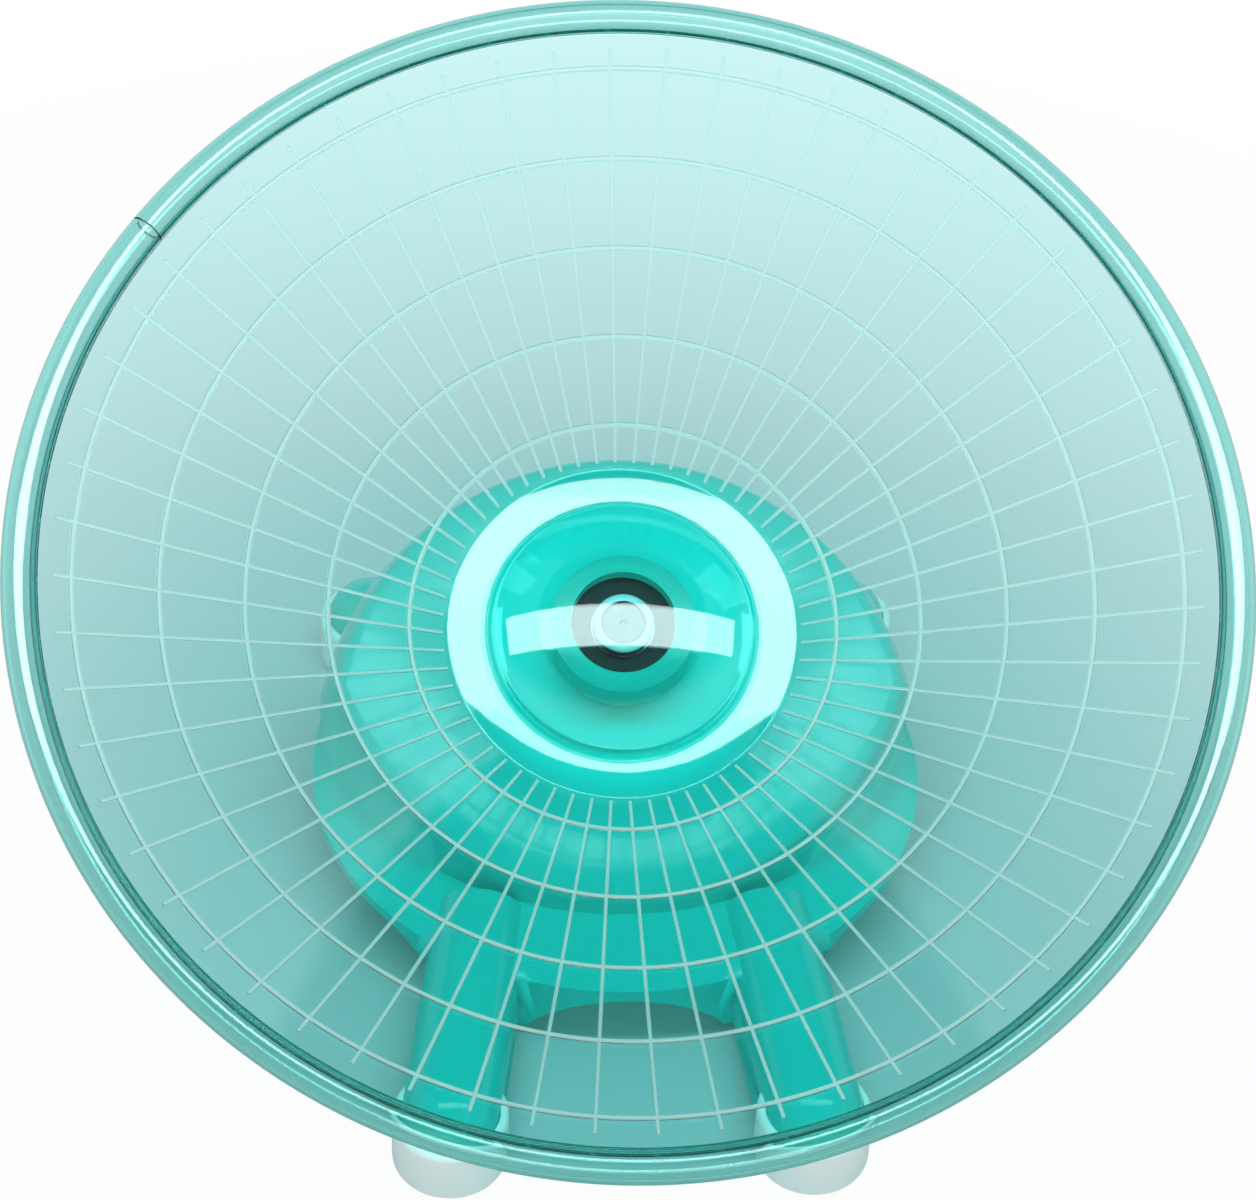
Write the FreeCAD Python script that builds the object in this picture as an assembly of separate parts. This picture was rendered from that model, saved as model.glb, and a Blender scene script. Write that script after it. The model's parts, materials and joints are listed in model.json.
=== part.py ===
import FreeCAD, Part
import math
import os

from FreeCAD import Placement, Rotation, Vector

# Running disc: a clear dish that spins on one ball bearing above a tilted four-legged stand.
# Millimetres, +Z up, floor at Z = 0, the front of the disc (its low side) towards -Y.

# Driving dimensions of the dish
disc_diameter = 300.0
dish_wall = 2.2
cone_angle = 28.0
hub_floor_radius = 44.2
hub_floor_width = 9.8
hub_floor_fillet = 4.0
dome_rise = 8.2
dome_step_height = 2.9
dome_step_width = 1.2
dome_fillet = 0.8

# Driving dimensions of the grip ribs on the running surface
radial_rib_count = 60
radial_rib_width = 1.1
radial_rib_height = 0.5
radial_rib_turn = 1.32
rib_hub_margin = 1.6
rib_rim_margin = 4.0
ring_rib_pitch = 20.0
ring_rib_inset = 4.0
ring_rib_width = 1.1
ring_rib_height = 0.4

# Driving dimensions of the edging tube round the rim
rim_tube_diameter = 8.5
rim_tube_wall = 1.6
rim_joint_gap = 0.5
rim_joint_angle = 144.0

# Driving dimensions of the ball bearing, a 12 x 28 x 8 deep-groove size
bearing_bore = 12.0
bearing_outer_diameter = 28.0
bearing_width = 8.0
bearing_ring_wall = 2.4
ball_diameter = 4.76
ball_count = 8
cage_wall = 1.5
cage_edge = 0.4
seal_thickness = 0.8
seal_inset = 0.1

# Driving dimensions of the bearing seat and the axle
socket_wall = 4.0
socket_lip = 1.6
retainer_height = 2.0
pin_head_diameter = 15.4
pin_head_height = 4.0
pin_head_chamfer = 1.2
pin_head_clearance = 1.0
pin_seat_depth = 10.0
spacer_wall = 2.0
boss_wall = 3.5
boss_floor = 2.5
screw_diameter = 4.0
screw_length = 18.0
screw_head_diameter = 8.0
screw_head_height = 3.0
screw_slot_width = 1.2
screw_slot_depth = 1.2
washer_diameter = 12.0
washer_thickness = 1.0

# Driving dimensions of the stand
disc_tilt = 28.0
hub_height = 68.4
hub_clearance = 2.0
stand_wall = 2.6
stand_radius = 80.0
stand_equator_height = 20.0
head_edge_fillet = 4.0
head_front_radius = 79.0
head_front_height = 7.0
apron_margin = 0.4
leg_top_height = 25.0
leg_flat_width = 2.0
front_root_spread = 36.0
front_root_inset = 30.0
front_foot_spread = 43.8
front_leg_overhang = 33.0
rear_leg_angle = 43.2
rear_leg_overhang = 10.5
side_arch_height = 17.0
side_arch_corner = 10.0
side_arch_front = 63.0
side_arch_rear = 30.0
end_arch_height = 16.5
end_arch_radius = 30.0

# Driving dimensions of the rubber feet
foot_diameter = 28.0
foot_height = 13.0
foot_wall = 2.0
foot_floor = 3.0
foot_edge_fillet = 2.0

# Fits
press_gap = 0.02
running_gap = 0.05
slip_gap = 0.1
foot_gap = 0.5

# Sizes of the dish worked out from its drawing, in a frame with its axis on Z
# and the flat hub floor at Z = 0
slope = math.tan(math.radians(cone_angle))
cone_cosine = math.cos(math.radians(cone_angle))
wall_drop = dish_wall / cone_cosine
rim_tube_radius = rim_tube_diameter / 2
rim_tube_bore = rim_tube_radius - rim_tube_wall
rim_circle_radius = disc_diameter / 2 - rim_tube_radius
rim_circle_height = (rim_circle_radius - hub_floor_radius) * slope - wall_drop / 2
rim_inner_radius = rim_circle_radius - rim_tube_radius * cone_cosine
dome_base_radius = hub_floor_radius - hub_floor_width
dome_cap_radius = dome_base_radius - dome_step_width
dome_cap_rise = dome_rise - dome_step_height
dome_sphere_radius = (dome_cap_radius ** 2 + dome_cap_rise ** 2) / (2 * dome_cap_rise)
dome_centre_height = dome_rise - dome_sphere_radius
rib_start_radius = hub_floor_radius + rib_hub_margin
rib_end_radius = rim_inner_radius - rib_rim_margin
outer_ring_radius = rib_end_radius - ring_rib_inset
ring_rib_count = int((outer_ring_radius - rib_start_radius) / ring_rib_pitch) + 1

# Heights of the bearing stack, downwards from the inside of the dome
pin_top = dome_rise - dish_wall - pin_head_clearance
bearing_top = pin_top - pin_head_height
bearing_middle = bearing_top - bearing_width / 2
bearing_bottom = bearing_top - bearing_width
socket_bottom = bearing_bottom - retainer_height
stand_top = socket_bottom - hub_clearance
pin_bottom = stand_top - pin_seat_depth
boss_bottom = pin_bottom - boss_floor
washer_bottom = boss_bottom - washer_thickness
screw_tip = washer_bottom + screw_length

# Radii of the bearing stack
bore_radius = bearing_bore / 2
bearing_radius = bearing_outer_diameter / 2
inner_ring_radius = bore_radius + bearing_ring_wall
outer_ring_bore = bearing_radius - bearing_ring_wall
ball_radius = ball_diameter / 2
pitch_radius = (bore_radius + bearing_radius) / 2
socket_bore = bearing_radius + press_gap
socket_radius = socket_bore + socket_wall
lip_radius = bearing_radius - socket_lip
pin_radius = bore_radius - press_gap
spacer_bore = bore_radius + slip_gap
boss_bore = bore_radius + press_gap
boss_radius = boss_bore + boss_wall
screw_radius = screw_diameter / 2

# Places in the shared frame: the rim's centre is straight above the origin
tilt = math.radians(disc_tilt)
axis = Vector(0, -math.sin(tilt), math.cos(tilt))
hub_point = Vector(0, rim_circle_height * math.sin(tilt), hub_height)
stand_centre = Vector(0, hub_point.y, stand_equator_height)
disc_place = Placement(hub_point, Rotation(Vector(1, 0, 0), disc_tilt))

# Sizes of the stand's legs, which plug into the feet, and of the apron between the front pair
leg_half_width = foot_diameter / 2 - foot_wall - press_gap
leg_edge_fillet = leg_half_width - leg_flat_width / 2
apron_height = side_arch_height + stand_wall + apron_margin

# The head's front wall stands where the tilted top has come down to the wall's height
head_point = hub_point + axis * stand_top
head_front_y = head_point.y - (head_point.z - apron_height - head_front_height) / math.tan(tilt)


def ring(outer, inner, bottom, top):
    """A plain ring on the Z axis."""
    tube = Part.makeCylinder(outer, top - bottom, Vector(0, 0, bottom))
    return tube.cut(Part.makeCylinder(inner, top - bottom, Vector(0, 0, bottom)))


def revolved(edges):
    """A closed half section in the XZ plane, turned about Z."""
    face = Part.Face(Part.Wire(Part.__sortEdges__(edges)))
    return face.revolve(Vector(0, 0, 0), Vector(0, 0, 1), 360)


def line(start, end):
    """A straight edge between two (radius, height) pairs."""
    return Part.LineSegment(Vector(start[0], 0, start[1]), Vector(end[0], 0, end[1])).toShape()


def dome_arc(radius, foot):
    """An arc about the dome's centre, from the axis out to the (radius, height) pair foot."""
    rise = foot[1] - dome_centre_height
    half = math.atan2(foot[0], rise) / 2
    middle = Vector(radius * math.sin(half), 0, dome_centre_height + radius * math.cos(half))
    top = Vector(0, 0, dome_centre_height + radius)
    return Part.Arc(top, middle, Vector(foot[0], 0, foot[1])).toShape()


def round_edges(shape, radius, corners):
    """Fillet the full-circle edges at the given (radius, height) pairs."""
    chosen = []
    for edge in shape.Edges:
        point = edge.Vertexes[0].Point
        place = (math.hypot(point.x, point.y), point.z)
        if any(math.dist(place, corner) < 1e-4 for corner in corners):
            if isinstance(edge.Curve, Part.Circle):
                chosen.append(edge)
    return shape.makeFillet(radius, chosen)


def dish_shell():
    """The dish wall: stepped dome, flat hub floor and cone, up to its bare edge in the edging tube."""
    cap_foot = (dome_cap_radius, dome_step_height)
    dome_foot = (dome_base_radius, 0)
    under_radius = dome_sphere_radius - dish_wall
    recess_radius = dome_base_radius - dish_wall
    recess_foot = (recess_radius, -dish_wall)
    recess_top = (recess_radius, dome_centre_height + math.sqrt(under_radius ** 2 - recess_radius ** 2))
    floor_end = (hub_floor_radius, 0)
    floor_under = (hub_floor_radius + (wall_drop - dish_wall) / slope, -dish_wall)
    edge_half = dish_wall / 2
    lean = Vector(math.sin(math.radians(cone_angle)), 0, cone_cosine)
    edge_top = (rim_circle_radius - lean.x * edge_half, rim_circle_height + lean.z * edge_half)
    edge_under = (rim_circle_radius + lean.x * edge_half, rim_circle_height - lean.z * edge_half)
    shell = revolved([
        dome_arc(dome_sphere_radius, cap_foot),
        line(cap_foot, dome_foot),
        line(dome_foot, floor_end),
        line(floor_end, edge_top),
        line(edge_top, edge_under),
        line(edge_under, floor_under),
        line(floor_under, recess_foot),
        line(recess_foot, recess_top),
        dome_arc(under_radius, recess_top),
        line((0, dome_rise - dish_wall), (0, dome_rise)),
    ])
    shell = round_edges(shell, dome_fillet, [cap_foot, dome_foot])
    return round_edges(shell, hub_floor_fillet, [floor_end])


def bearing_socket():
    """The collar under the dome that holds the bearing, with a lip above the outer ring."""
    collar = ring(socket_radius, lip_radius, socket_bottom, dome_rise)
    seat_height = bearing_top - socket_bottom
    collar = collar.cut(Part.makeCylinder(socket_bore, seat_height, Vector(0, 0, socket_bottom)))
    inside = Part.makeSphere(dome_sphere_radius - dish_wall / 2, Vector(0, 0, dome_centre_height))
    return collar.common(inside)


def ring_ribs():
    """Raised rings on the cone, one pitch apart, from the rim inwards."""
    ribs = []
    for step in range(ring_rib_count):
        radius = outer_ring_radius - step * ring_rib_pitch
        height = (radius - hub_floor_radius) * slope
        along = Vector(cone_cosine, 0, cone_cosine * slope) * (ring_rib_width / 2)
        out = Vector(-cone_cosine * slope, 0, cone_cosine)
        middle = Vector(radius, 0, height)
        low = middle - out * ring_rib_height
        high = middle + out * ring_rib_height
        corners = [low - along, low + along, high + along, high - along]
        section = Part.Face(Part.makePolygon(corners + corners[:1]))
        ribs.append(section.revolve(Vector(0, 0, 0), Vector(0, 0, 1), 360))
    return ribs


def radial_ribs():
    """Raised straight ribs down the cone, from near the rim to near the hub floor."""
    length = (rib_end_radius - rib_start_radius) / cone_cosine
    rib = Part.makeBox(
        length, radial_rib_width, 2 * radial_rib_height,
        Vector(0, -radial_rib_width / 2, -radial_rib_height))
    rib.rotate(Vector(0, 0, 0), Vector(0, 1, 0), -cone_angle)
    rib.translate(Vector(rib_start_radius, 0, (rib_start_radius - hub_floor_radius) * slope))
    ribs = []
    for index in range(radial_rib_count):
        copy = rib.copy()
        angle = radial_rib_turn + 360 * index / radial_rib_count
        copy.rotate(Vector(0, 0, 0), Vector(0, 0, 1), angle)
        ribs.append(copy)
    return ribs


def running_disc():
    """The whole clear moulding: shell, bearing socket and grip ribs."""
    shell = dish_shell().fuse(bearing_socket())
    return shell.fuse(ring_ribs() + radial_ribs())


def rim_edging():
    """A hollow tube pushed over the dish's edge, slit on its inner side, its ends butted."""
    centre = Vector(0, 0, rim_circle_height)
    tube = Part.makeTorus(rim_circle_radius, rim_tube_radius, centre)
    tube = tube.cut(Part.makeTorus(rim_circle_radius, rim_tube_bore, centre))
    lean = math.radians(cone_angle)
    inwards = Vector(-math.cos(lean), 0, -math.sin(lean))
    across = Vector(-math.sin(lean), 0, math.cos(lean)) * (dish_wall / 2)
    root = Vector(rim_circle_radius, 0, rim_circle_height)
    tip = root + inwards * rim_tube_diameter
    corners = [root - across, root + across, tip + across, tip - across]
    slit = Part.Face(Part.makePolygon(corners + corners[:1]))
    tube = tube.cut(slit.revolve(Vector(0, 0, 0), Vector(0, 0, 1), 360))
    joint = Part.makeBox(
        2 * rim_tube_diameter, rim_joint_gap, 2 * rim_tube_diameter,
        Vector(rim_circle_radius - rim_tube_diameter, -rim_joint_gap / 2,
               rim_circle_height - rim_tube_diameter))
    joint.rotate(Vector(0, 0, 0), Vector(0, 0, 1), rim_joint_angle)
    return tube.cut(joint)


def ball_race():
    """The round groove that the balls run in, cut out of both rings."""
    centre = Vector(0, 0, bearing_middle)
    return Part.makeTorus(pitch_radius, ball_radius + running_gap, centre)


def bearing_outer_ring():
    """The outer steel ring, pressed into the socket."""
    return ring(bearing_radius, outer_ring_bore, bearing_bottom, bearing_top).cut(ball_race())


def bearing_inner_ring():
    """The inner steel ring, fixed on the pin."""
    return ring(inner_ring_radius, bore_radius, bearing_bottom, bearing_top).cut(ball_race())


def ball_places():
    """The centres of the balls, evenly round the pitch circle from half a step on."""
    places = []
    for index in range(ball_count):
        angle = 2 * math.pi * (index + 0.5) / ball_count
        x = pitch_radius * math.cos(angle)
        y = pitch_radius * math.sin(angle)
        places.append(Vector(x, y, bearing_middle))
    return places


def bearing_balls():
    """The balls, as separate solids in one group."""
    return Part.makeCompound([Part.makeSphere(ball_radius, place) for place in ball_places()])


def bearing_cage():
    """The ring that keeps the balls apart, with one pocket for each."""
    half_height = ball_radius + slip_gap + cage_edge
    cage = ring(
        pitch_radius + cage_wall / 2, pitch_radius - cage_wall / 2,
        bearing_middle - half_height, bearing_middle + half_height)
    pockets = []
    for place in ball_places():
        outwards = Vector(place.x, place.y, 0).normalize()
        start = place - outwards * cage_wall
        pockets.append(Part.makeCylinder(ball_radius + slip_gap, 2 * cage_wall, start, outwards))
    return cage.cut(pockets)


def bearing_seal(bottom):
    """A rubber disc held in the outer ring, just clear of the inner ring."""
    return ring(
        outer_ring_bore - press_gap, inner_ring_radius + slip_gap, bottom, bottom + seal_thickness)


def bearing_retainer():
    """The ring pushed into the socket below the bearing."""
    return ring(bearing_radius, lip_radius, socket_bottom, bearing_bottom)


def axle_pin():
    """The fixed pin: a chamfered head above the inner ring and a shank down into the stand."""
    head = Part.makeCylinder(pin_head_diameter / 2, pin_head_height, Vector(0, 0, bearing_top))
    head = round_top(head, pin_top)
    shank = Part.makeCylinder(pin_radius, bearing_top - pin_bottom, Vector(0, 0, pin_bottom))
    pilot_depth = screw_tip - pin_bottom
    pilot = Part.makeCylinder(screw_radius + press_gap, pilot_depth, Vector(0, 0, pin_bottom))
    return head.fuse(shank).removeSplitter().cut(pilot)


def round_top(shape, height):
    """Chamfer the circular edge at the given height."""
    edges = [edge for edge in shape.Edges if abs(edge.BoundBox.ZMin - height) < 1e-6]
    return shape.makeChamfer(pin_head_chamfer, edges)


def axle_spacer():
    """The sleeve that carries the inner ring above the stand."""
    return ring(spacer_bore + spacer_wall, spacer_bore, stand_top, bearing_bottom)


def axle_washer():
    """The washer between the screw head and the stand's boss."""
    return ring(washer_diameter / 2, screw_radius + slip_gap, washer_bottom, boss_bottom)


def axle_screw():
    """The slotted screw that pulls the pin into the stand from below."""
    head_bottom = washer_bottom - screw_head_height
    screw = Part.makeCylinder(
        screw_head_diameter / 2, screw_head_height, Vector(0, 0, head_bottom))
    shank = Part.makeCylinder(screw_radius, screw_length, Vector(0, 0, washer_bottom))
    slot = Part.makeBox(
        screw_head_diameter, screw_slot_width, screw_slot_depth,
        Vector(-screw_head_diameter / 2, -screw_slot_width / 2, head_bottom))
    return screw.fuse(shank).removeSplitter().cut(slot)


def above_apron(inset):
    """A large block over the apron, to trim the head's cutters at its level."""
    size = 4 * stand_radius
    corner = Vector(-size / 2, stand_centre.y - size / 2, apron_height - inset)
    return Part.makeBox(size, size, size, corner)


def head_plane_cutter(inset):
    """The space over the tilted plane that the disc's hub faces."""
    size = 4 * stand_radius
    block = Part.makeBox(size, size, size, Vector(-size / 2, -size / 2, stand_top - inset))
    block.Placement = disc_place
    return block.common(above_apron(inset))


def head_front_cutter(inset):
    """The space over the apron, in front of the head's curved front wall."""
    wall_y = head_front_y + head_front_radius
    bottom = apron_height - inset
    wall = Part.makeCylinder(head_front_radius - inset, 4 * stand_radius, Vector(0, wall_y, bottom))
    behind = above_apron(inset)
    behind.translate(Vector(0, wall_y - stand_centre.y + 2 * stand_radius, 0))
    return above_apron(inset).cut([wall, behind])


def stand_head(inset, bottom):
    """The round body under the hub, cut off by the tilted plane and stepped back in front."""
    radius = stand_radius - inset
    dome = Part.makeSphere(radius, stand_centre, Vector(0, 0, 1), 0, 90, 360)
    skirt = Part.makeCylinder(
        radius, stand_equator_height - bottom, Vector(0, stand_centre.y, bottom))
    head = dome.fuse(skirt).removeSplitter()
    return head.cut([head_plane_cutter(inset), head_front_cutter(inset)])


def round_head(head):
    """Fillet the edges round the head's tilted top face."""
    level = head_point.dot(axis)
    rim = [edge for edge in head.Edges
           if all(abs(point.dot(axis) - level) < 1e-4 for point in edge.discretize(5))]
    return head.makeFillet(head_edge_fillet, rim)


def arch_cutters():
    """Blocks that open the skirt: round arches front and back, and long low arches at the sides."""
    reach = 2 * stand_radius
    end_arch = Part.makeCylinder(
        end_arch_radius, 2 * reach,
        Vector(0, stand_centre.y - reach, end_arch_height - end_arch_radius), Vector(0, 1, 0))
    length = side_arch_front + side_arch_rear
    side_arch = Part.makeBox(
        2 * reach, length, side_arch_height,
        Vector(-reach, stand_centre.y - side_arch_front, 0))
    corners = [edge for edge in side_arch.Edges
               if edge.BoundBox.ZMin > side_arch_height / 2 and edge.BoundBox.XLength > reach]
    return [end_arch, side_arch.makeFillet(side_arch_corner, corners)]


def stand_leg(inset, bottom, foot, root):
    """A leg: a bar from inside the body out to a round end over its foot."""
    half_width = leg_half_width - inset
    height = leg_top_height - inset - bottom
    run = foot - root
    bar = Part.makeBox(run.Length, 2 * half_width, height, Vector(0, -half_width, 0))
    end = Part.makeCylinder(half_width, height, Vector(run.Length, 0, 0))
    leg = bar.fuse(end).removeSplitter()
    leg = round_leg(leg, height, leg_edge_fillet - inset)
    leg.rotate(Vector(0, 0, 0), Vector(0, 0, 1), math.degrees(math.atan2(run.y, run.x)))
    leg.translate(Vector(root.x, root.y, bottom))
    return leg


def round_leg(leg, height, radius):
    """Fillet a leg's top edge along both sides and round its end."""
    top = [edge for edge in leg.Edges
           if edge.BoundBox.ZMin > height - 1e-6 and edge.BoundBox.XMax > 1e-6]
    return leg.makeFillet(radius, top)


def leg_lines():
    """The foot and the root of each leg in plan, front pair first."""
    lines = []
    for side in (-1, 1):
        front_y = stand_centre.y - stand_radius
        foot = Vector(side * front_foot_spread, front_y - front_leg_overhang, 0)
        root = Vector(side * front_root_spread, front_y + front_root_inset, 0)
        lines.append((foot, root))
    rear_reach = stand_radius + rear_leg_overhang
    rear_angle = math.radians(rear_leg_angle)
    for side in (-1, 1):
        root = Vector(0, stand_centre.y, 0)
        foot = root + Vector(side * math.cos(rear_angle), math.sin(rear_angle), 0) * rear_reach
        lines.append((foot, root))
    return lines


def foot_clearances():
    """Rings round the feet's walls, so that only the round leg ends go down into the feet."""
    rings = []
    for foot, root in leg_lines():
        clearance = ring(foot_diameter / 2 + foot_gap, leg_half_width, 0, foot_height + foot_gap)
        clearance.translate(foot)
        rings.append(clearance)
    return rings


def axle_boss():
    """The blind socket inside the stand's head that the pin's lower end is pulled into."""
    boss = Part.makeCylinder(
        boss_radius, stand_top - stand_wall / 2 - boss_bottom, Vector(0, 0, boss_bottom))
    return on_disc(boss)


def axle_bores():
    """The pin's seat and the screw's hole below it."""
    seat = Part.makeCylinder(
        boss_bore, stand_top + hub_clearance - pin_bottom, Vector(0, 0, pin_bottom))
    hole = Part.makeCylinder(screw_radius + slip_gap, boss_floor, Vector(0, 0, boss_bottom))
    return [on_disc(seat), on_disc(hole)]


def stand_shell():
    """The clear stand: a hollow body on four hollow legs, arched all round, with the pin's boss."""
    outer = round_head(stand_head(0, foot_floor)).cut(arch_cutters())
    inner = stand_head(stand_wall, 0)
    for foot, root in leg_lines():
        outer = outer.fuse(stand_leg(0, foot_floor, foot, root))
        inner = inner.fuse(stand_leg(stand_wall, 0, foot, root))
    shell = outer.cut(foot_clearances()).cut(inner)
    return shell.fuse(axle_boss()).cut(axle_bores())


def rubber_foot(foot):
    """A rubber cup pushed over the end of a leg."""
    cup = Part.makeCylinder(foot_diameter / 2, foot_height)
    edges = [edge for edge in cup.Edges if isinstance(edge.Curve, Part.Circle)]
    cup = cup.makeFillet(foot_edge_fillet, edges)
    bore = Part.makeCylinder(
        foot_diameter / 2 - foot_wall, foot_height - foot_floor, Vector(0, 0, foot_floor))
    cup = cup.cut(bore)
    cup.translate(foot)
    return cup


def on_disc(shape):
    """Place a piece that was drawn on the disc's own axis."""
    placed = shape.copy()
    placed.Placement = disc_place.multiply(placed.Placement)
    return placed


def main():
    os.makedirs("parts", exist_ok=True)
    pieces = {
        "running_disc": on_disc(running_disc()),
        "rim_edging": on_disc(rim_edging()),
        "bearing_outer_ring": on_disc(bearing_outer_ring()),
        "bearing_inner_ring": on_disc(bearing_inner_ring()),
        "bearing_balls": on_disc(bearing_balls()),
        "bearing_cage": on_disc(bearing_cage()),
        "bearing_upper_seal": on_disc(bearing_seal(bearing_top - seal_inset - seal_thickness)),
        "bearing_lower_seal": on_disc(bearing_seal(bearing_bottom + seal_inset)),
        "bearing_retainer": on_disc(bearing_retainer()),
        "axle_pin": on_disc(axle_pin()),
        "axle_spacer": on_disc(axle_spacer()),
        "axle_washer": on_disc(axle_washer()),
        "axle_screw": on_disc(axle_screw()),
        "stand_shell": stand_shell(),
    }
    names = ("front_left_foot", "front_right_foot", "rear_left_foot", "rear_right_foot")
    for name, (foot, root) in zip(names, leg_lines()):
        pieces[name] = rubber_foot(foot)
    for name, shape in pieces.items():
        print(name, "valid" if shape.isValid() else "NOT VALID", len(shape.Solids), "solid(s)",
              round(shape.Volume, 1), "mm3")
        shape.exportStep("parts/" + name + ".step")


main()
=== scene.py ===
import json
import math

import bmesh
import bpy
from mathutils import Matrix, Vector


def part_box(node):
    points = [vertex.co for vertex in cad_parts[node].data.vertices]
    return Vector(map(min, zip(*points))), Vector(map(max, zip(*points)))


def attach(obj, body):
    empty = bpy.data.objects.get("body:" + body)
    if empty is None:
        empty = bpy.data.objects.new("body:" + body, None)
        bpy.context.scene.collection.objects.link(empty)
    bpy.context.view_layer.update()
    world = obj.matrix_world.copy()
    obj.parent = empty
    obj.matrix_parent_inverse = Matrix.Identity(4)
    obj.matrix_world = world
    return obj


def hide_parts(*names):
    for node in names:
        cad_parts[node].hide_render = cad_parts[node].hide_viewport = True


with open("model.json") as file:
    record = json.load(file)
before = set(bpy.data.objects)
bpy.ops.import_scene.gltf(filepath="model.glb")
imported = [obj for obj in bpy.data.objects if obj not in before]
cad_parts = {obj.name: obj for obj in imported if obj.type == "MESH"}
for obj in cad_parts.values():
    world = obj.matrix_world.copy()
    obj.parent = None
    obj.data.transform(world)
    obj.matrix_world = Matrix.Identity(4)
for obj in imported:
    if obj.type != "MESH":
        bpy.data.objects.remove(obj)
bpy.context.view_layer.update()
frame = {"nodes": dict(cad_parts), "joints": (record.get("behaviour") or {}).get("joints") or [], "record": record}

# Lengths below are millimetres, as on the drawing; MM turns them to the scene's metres
MM = 0.001

# Sizes of the dish, in a frame with its axis on Z and the hub floor's outer edge at Z = 0
DISC_DIAMETER = 300.0
DISH_WALL = 2.2
CONE_ANGLE = math.radians(28.0)
HUB_FLOOR_RADIUS = 44.2
DOME_RADIUS = 34.4
DOME_RISE = 8.2
STEP_HEIGHT = 3.09
STEP_WIDTH = 1.8
STEP_FILLET = 1.0
RAMP_FOOT = 36.0
RAMP_TOP = 22.0
FLOOR_SLOPE = math.tan(math.radians(6.65))
FLOOR_FILLET = 1.2
UNDER_FILLET = 1.5
TUBE_RADIUS = 4.25
TUBE_BORE = 3.1
EDGE_INSET = 4.4
JOINT_ANGLE = math.radians(144.0)
JOINT_GAP = 0.5

# Sizes of the bearing socket under the dome
SOCKET_RADIUS = 18.02
SOCKET_BORE = 14.02
SOCKET_LIP = 13.25
SOCKET_SEAT = 1.0
SOCKET_BOTTOM = -9.0

# Sizes of the bearing's upper seal
SEAL_BORE = 7.9
SEAL_RADIUS = 13.2
SEAL_TOP = 1.15
SEAL_THICKNESS = 0.14

# Sizes of the axle pin's head and shank
PIN_TOP = 5.0
PIN_HEAD_RADIUS = 7.7
PIN_HEAD_CHAMFER = 1.0
PIN_RIM = 5.7
PIN_DISH = 0.5
PIN_GATE = 0.9
PIN_GATE_FLOOR = 0.54
PIN_SHANK = 5.98
PIN_PILOT = 2.02
PIN_BOTTOM = -21.0
PILOT_TOP = -6.5

# Sizes of the grip ribs
RIB_COUNT = 60
RIB_TURN = math.radians(1.32)
RIB_RADIUS = 0.52
RIB_LIFT = -0.2
RING_RADIUS = 0.75
RING_LIFT = -0.3
RIB_START = 45.8
RIB_END = 138.0
RING_PITCH = 20.0
RING_COUNT = 5
OUTER_RING = 134.0

# The ribs' satin starts and is full at these heights over the cone; it is this clear and this colour
SATIN_FROM = 0.02
SATIN_FULL = 0.12
RIB_CLEARNESS = 0.7
RIB_FROST = "#E0FAF8"

# Points closer than these are merged, on the ribbed dish and on a turned piece, and an edge shorter than
# the last is dissolved
SLIVER = 0.004
POINT_MERGE = 1e-5
EDGE_LEAST = 1e-6

# The same for the stand's solid, in metres
SOLID_MERGE = 1e-6

# How far from the hub the paler, painted light under the dome reaches in full, and where it has faded out
PAINTED_LIGHT_RADIUS = 34.0
PAINTED_LIGHT_FADE_RADIUS = 46.0

# Sizes of the rubber feet
FOOT_RADIUS = 14.0
FOOT_HEIGHT = 16.0
FOOT_BORE = 12.0
FOOT_FLOOR = 3.0
FOOT_FILLET = 2.0
FOOT_LIP_SHARE = 0.8

# How finely the turned pieces and the ribs are divided
DISH_SEGMENTS = 360
SOCKET_SEGMENTS = 180
SEAL_SEGMENTS = 120
PIN_SEGMENTS = 96
EDGING_SEGMENTS = 480
EDGING_STEPS = 64
FOOT_SEGMENTS = 72
DOME_STEPS = 14
LIP_STEPS = 6
RIB_STEPS = 16
TIP_RINGS = 8
RING_STEPS = 360
FILLET_STEPS = 6

# Faces that meet at a sharper angle than this keep a crisp edge, in degrees, and the same on the stand
CRISP_ANGLE = 35.0
STAND_CRISP_ANGLE = 25.0

# What the clear plastics let through as they cast a shadow, and the share that the tinted ones do
CLEAR_SHADOW = (0.75, 0.98, 0.98, 1)
TINTED_SHADOW_SHARE = 0.6

# The tinted plastics' index of refraction and the strength of their gloss
TINTED_IOR = 1.55
TINTED_SPECULAR = 0.2

# How many octaves of noise the waves, the haze and the grain have
WAVE_DETAIL = 2.0
HAZE_DETAIL = 4.0
GRAIN_DETAIL = 6.0

# How far haze and grain take a finish's roughness down and up, and how many waves wide the haze is
CLEAR_HAZE = (0.6, 1.4)
TINTED_HAZE = (0.7, 1.3)
GRAIN_HAZE = (0.8, 1.2)
HAZE_WAVES = 3

# The floor: its half width and where its own glow begins and is full, in metres, its paper's colour, and
# the glow's share where the camera sees it
FLOOR_HALF = 4.0
GLOW_FROM = 0.07
GLOW_FULL = 0.42
FLOOR_PAPER = "#CACACA"
FLOOR_SEEN = 0.96

# The studio: its even fill, and how bright its walls and its dim parts look in a mirror
STUDIO_FILL = 0.45
WALLS_SEEN = 1.0
DIM_SEEN = 0.12

# Where the dim parts begin and are full, as parts of a direction's height or depth
CEILING = (0.79, 0.85)
BACK_PANEL = (0.512, 0.528)
BACK_PANEL_FOOT = (0.35, 0.45)

# The overhead strip's shift from the hub, in metres
STRIP_SHIFT = (0.056, 0, 0)

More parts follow.
